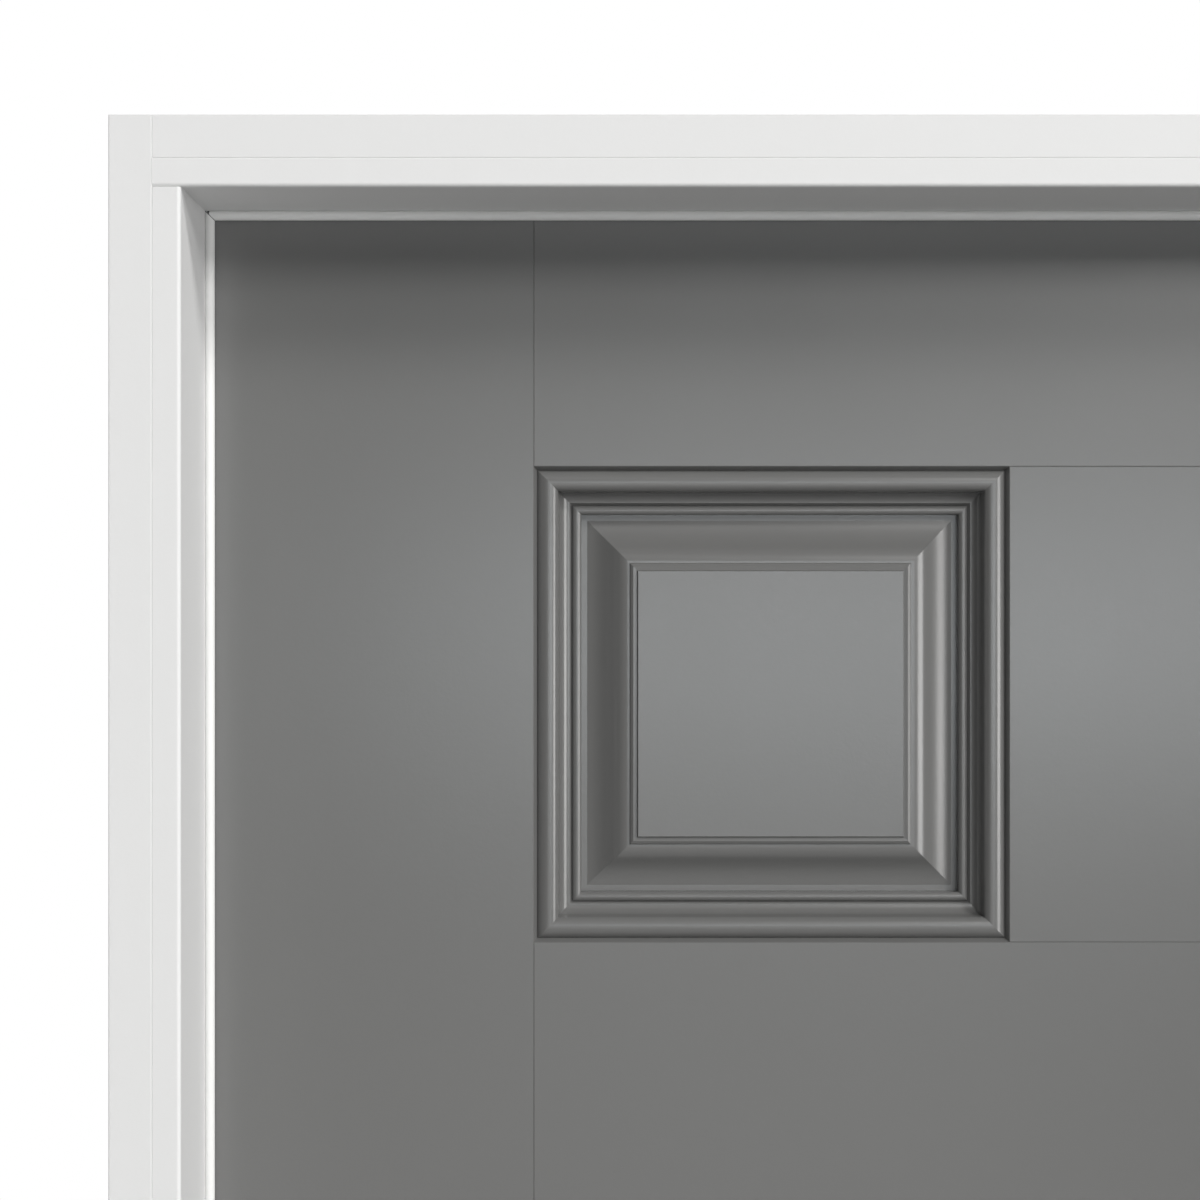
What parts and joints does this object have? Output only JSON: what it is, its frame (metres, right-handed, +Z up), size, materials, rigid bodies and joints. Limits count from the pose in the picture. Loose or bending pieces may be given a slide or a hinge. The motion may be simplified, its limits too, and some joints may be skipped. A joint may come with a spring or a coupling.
{
  "type": "front door",
  "caption": "Inswing panelled timber front door, prehung in a white frame with stops, seals and a threshold, ready for its lock.",
  "frame": {"origin": "middle of the sill's underside, in line with the frame's outside edge", "axes": "+X to the right seen from outside, +Y into the building, +Z up"},
  "size_m": [0.9524, 0.1575, 2.083],
  "materials": {
    "white_paint": "white satin paint",
    "grey_paint": "grey satin paint",
    "seal": "matt foam-filled seal",
    "dark_seal": "matt",
    "sill_base": "unfinished",
    "tread": "mill satin",
    "cap": "oiled",
    "hinge": "satin nickel"
  },
  "bodies": {
    "frame": {"hinge_jamb": "white_paint", "lock_jamb": "white_paint", "head_jamb": "white_paint", "hinge_stop": "white_paint", "lock_stop": "white_paint", "head_stop": "white_paint", "hinge_seal": "seal", "lock_seal": "seal", "head_seal": "seal", "sill": "sill_base", "threshold_tread": "tread", "threshold_cap": "cap", "corner_pads": "dark_seal", "hinge_frame_leaf_top": "hinge", "hinge_frame_leaf_middle": "hinge", "hinge_frame_leaf_bottom": "hinge", "hinge_pins": "hinge"},
    "leaf": {"hinge_stile": "grey_paint", "lock_stile": "grey_paint", "top_rail": "grey_paint", "frieze_rail": "grey_paint", "lock_rail": "grey_paint", "bottom_rail": "grey_paint", "upper_mullion": "grey_paint", "middle_mullion": "grey_paint", "lower_mullion": "grey_paint", "upper_left_panel": "grey_paint", "upper_right_panel": "grey_paint", "middle_left_panel": "grey_paint", "middle_right_panel": "grey_paint", "lower_left_panel": "grey_paint", "lower_right_panel": "grey_paint", "upper_left_moulding": "grey_paint", "upper_right_moulding": "grey_paint", "middle_left_moulding": "grey_paint", "middle_right_moulding": "grey_paint", "lower_left_moulding": "grey_paint", "lower_right_moulding": "grey_paint", "door_sweep": "dark_seal", "hinge_door_leaf_top": "hinge", "hinge_door_leaf_middle": "hinge", "hinge_door_leaf_bottom": "hinge"}
  },
  "joints": [
    {"name": "leaf_swing", "type": "hinge", "parent": "frame", "child": "leaf", "pos_m": [-0.45465, 0.1235, 1], "axis": [0, 0, 1], "range_deg": [0, 110]}
  ]
}
